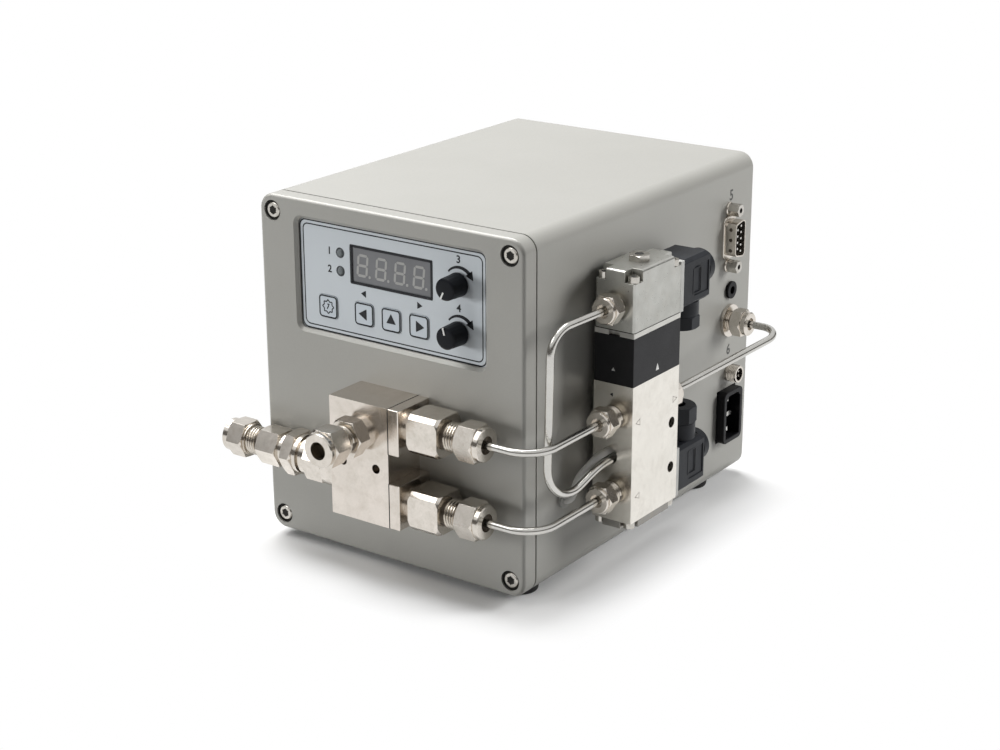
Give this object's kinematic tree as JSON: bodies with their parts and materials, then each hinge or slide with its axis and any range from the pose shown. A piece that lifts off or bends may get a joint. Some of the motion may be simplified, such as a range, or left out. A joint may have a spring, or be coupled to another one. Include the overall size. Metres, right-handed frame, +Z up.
{
  "type": "stream switching system",
  "caption": "Bench instrument with a box housing, keypad, display and knobs, a front manifold with tube fittings and a side-mounted solenoid valve that switches a stream.",
  "frame": {"origin": "middle of the outer box at the height of the surface the feet stand on", "axes": "+X to the right seen from the front, +Y from the front plate to the rear, +Z up"},
  "size_m": [0.168, 0.2196, 0.1485],
  "materials": {
    "case_paint": "satin metallic grey",
    "gasket_rubber": "matt",
    "foot_rubber": "matt",
    "seal_rubber": "matt",
    "steel_fasteners": "bright",
    "stainless": "brushed",
    "nickel": "bright nickel",
    "aluminium": "satin anodised",
    "overlay": "satin light blue grey",
    "display": "dark window",
    "lamp": "diffused",
    "key": "satin",
    "knob": "satin black",
    "black_plastic": "satin black",
    "plug_plastic": "dark charcoal",
    "board": "circuit board",
    "gold_contacts": "gold plated",
    "cable_grey": "grey jacket"
  },
  "bodies": {
    "housing": {"board_standoffs": "nickel", "bulkhead_body": "nickel", "bulkhead_nut": "nickel", "case_screws": "steel_fasteners", "circuit_boards": "board", "contact_pins": "gold_contacts", "display_module": "display", "dsub_jackscrews": "nickel", "dsub_shell": "nickel", "enclosure_shell": "case_paint", "feet": "foot_rubber", "front_gasket": "gasket_rubber", "front_plate": "case_paint", "inlet_front_body": "stainless", "key_switches": "black_plastic", "left_adapter": "stainless", "left_collar": "stainless", "left_fitting_body": "stainless", "manifold_block": "stainless", "membrane_panel": "overlay", "mounting_screws": "steel_fasteners", "outlet_bodies": "stainless", "outlet_tubes": "stainless", "plug_glands": "plug_plastic", "plug_housings": "plug_plastic", "potentiometers": "black_plastic", "power_inlet": "black_plastic", "power_supply": "aluminium", "rear_panel": "case_paint", "service_jack": "black_plastic", "side_plates": "stainless", "signal_socket": "nickel", "socket_inserts": "black_plastic", "status_lamps": "lamp", "tube_cap": "stainless", "tube_nuts": "stainless", "tube_rear": "stainless", "tube_sleeves": "stainless", "valve_base_plate": "stainless", "valve_body": "stainless", "valve_cable": "cable_grey", "valve_cap": "stainless", "valve_gasket_strip": "seal_rubber", "valve_hex_plug": "stainless", "valve_port_connectors": "nickel", "valve_port_nuts": "nickel", "valve_screws": "steel_fasteners", "valve_seals": "seal_rubber", "valve_spacer_block": "black_plastic", "valve_spacers": "nickel", "washer_and_lock_nuts": "nickel"},
    "key_menu": {"key_menu": "key"},
    "key_left": {"key_left": "key"},
    "key_up": {"key_up": "key"},
    "key_right": {"key_right": "key"},
    "knob_input": {"knob_input": "knob", "shaft_input": "steel_fasteners"},
    "knob_timing": {"knob_timing": "knob", "shaft_timing": "steel_fasteners"},
    "valve_spool": {"valve_spool": "stainless"}
  },
  "joints": [
    {"name": "key_menu_press", "type": "slide", "parent": "housing", "child": "key_menu", "axis": [0, 1, 0], "range_m": [0, 0.0005], "stiffness_N_per_m": 1200},
    {"name": "key_left_press", "type": "slide", "parent": "housing", "child": "key_left", "axis": [0, 1, 0], "range_m": [0, 0.0005], "stiffness_N_per_m": 1200},
    {"name": "key_up_press", "type": "slide", "parent": "housing", "child": "key_up", "axis": [0, 1, 0], "range_m": [0, 0.0005], "stiffness_N_per_m": 1200},
    {"name": "key_right_press", "type": "slide", "parent": "housing", "child": "key_right", "axis": [0, 1, 0], "range_m": [0, 0.0005], "stiffness_N_per_m": 1200},
    {"name": "knob_input_turn", "type": "hinge", "parent": "housing", "child": "knob_input", "pos_m": [0.02507, -0.0656, 0.1261], "axis": [0, 1, 0], "range_deg": [0, 300]},
    {"name": "knob_timing_turn", "type": "hinge", "parent": "housing", "child": "knob_timing", "pos_m": [0.02507, -0.0656, 0.1067], "axis": [0, 1, 0], "range_deg": [-150, 150]},
    {"name": "valve_spool_shift", "type": "slide", "parent": "housing", "child": "valve_spool", "axis": [0, 0, 1], "range_m": [0, 0.002], "stiffness_N_per_m": 600}
  ]
}
